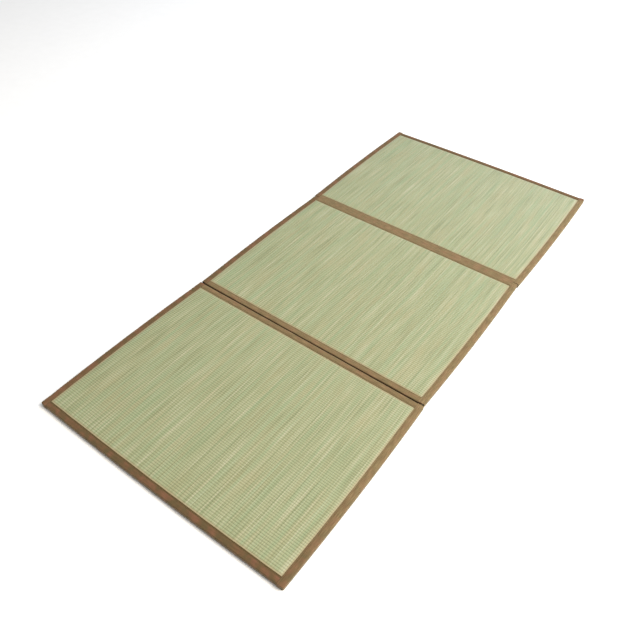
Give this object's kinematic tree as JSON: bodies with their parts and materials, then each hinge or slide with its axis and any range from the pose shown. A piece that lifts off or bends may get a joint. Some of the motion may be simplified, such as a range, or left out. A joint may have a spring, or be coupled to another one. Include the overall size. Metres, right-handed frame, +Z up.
{
  "type": "folding tatami mat",
  "caption": "Long flat folding floor mat of woven rush in panels, bound on every edge with brown cloth tape and hinged by sewn tapes across the folds.",
  "frame": {"origin": "on the floor, under the middle of the mat's bounding box", "axes": "+X across the mat towards its right-hand long edge, +Y along the mat towards its head end, +Z up"},
  "size_m": [0.9, 2, 0.018],
  "materials": {
    "rush_facing": "woven green-gold rush with fine cross ridges, satin",
    "binding_cloth": "brown plain-woven cotton tape, matte"
  },
  "bodies": {
    "root": {"rush_panel_foot": "rush_facing", "long_binding_foot_right": "binding_cloth", "long_binding_foot_left": "binding_cloth", "rush_panel_middle": "rush_facing", "long_binding_middle_right": "binding_cloth", "long_binding_middle_left": "binding_cloth", "rush_panel_head": "rush_facing", "long_binding_head_right": "binding_cloth", "long_binding_head_left": "binding_cloth", "end_binding_foot": "binding_cloth", "end_binding_head": "binding_cloth", "fold_binding_foot": "binding_cloth", "fold_binding_middle_open": "binding_cloth", "fold_binding_middle_closed": "binding_cloth", "fold_binding_head": "binding_cloth", "hinge_tape_under": "binding_cloth", "hinge_tape_over": "binding_cloth"}
  },
  "joints": []
}
